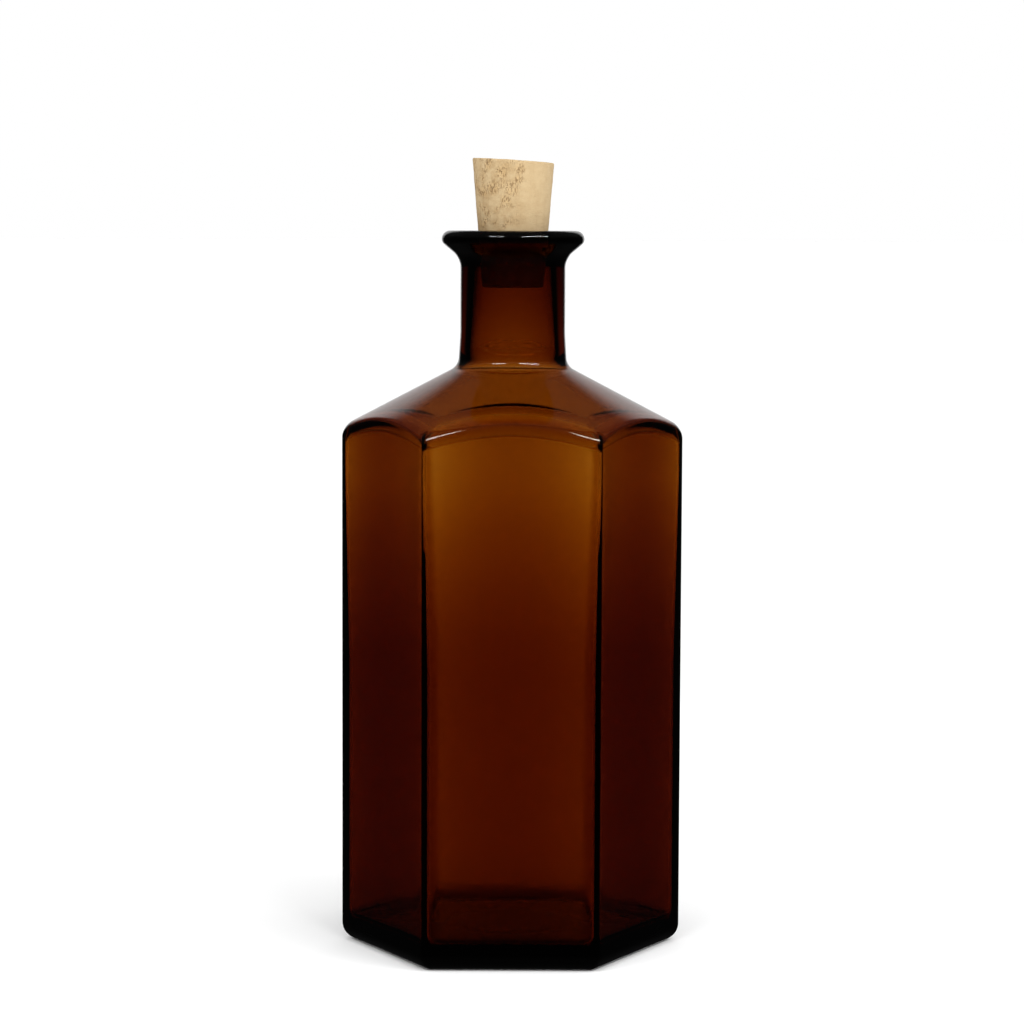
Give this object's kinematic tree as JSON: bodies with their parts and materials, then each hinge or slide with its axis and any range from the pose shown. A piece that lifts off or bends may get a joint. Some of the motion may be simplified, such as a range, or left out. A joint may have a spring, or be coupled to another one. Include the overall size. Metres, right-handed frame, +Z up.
{
  "type": "medicine bottle",
  "caption": "Six-sided amber glass medicine bottle with a conical shoulder, a round neck, a flared lip and a tapered natural cork that pulls out.",
  "frame": {"origin": "middle of the base, on the plane of the resting ring", "axes": "+Z up along the bottle's axis; -Y out of the middle of a flat panel, the front; the upright corners between two side panels point along +X and -X"},
  "size_m": [0.085, 0.0742, 0.1978],
  "materials": {
    "amber_glass": "clear deep amber-brown glass, polished and glossy inside and out, thick and almost black at the base",
    "natural_cork": "pale tan natural cork, matt, finely grained, with small brown pores"
  },
  "bodies": {
    "bottle": {"bottle": "amber_glass"},
    "cork": {"cork": "natural_cork"}
  },
  "joints": [
    {"name": "cork_pull", "type": "slide", "parent": "bottle", "child": "cork", "axis": [0, 0, 1], "range_m": [0, 0.045]}
  ]
}
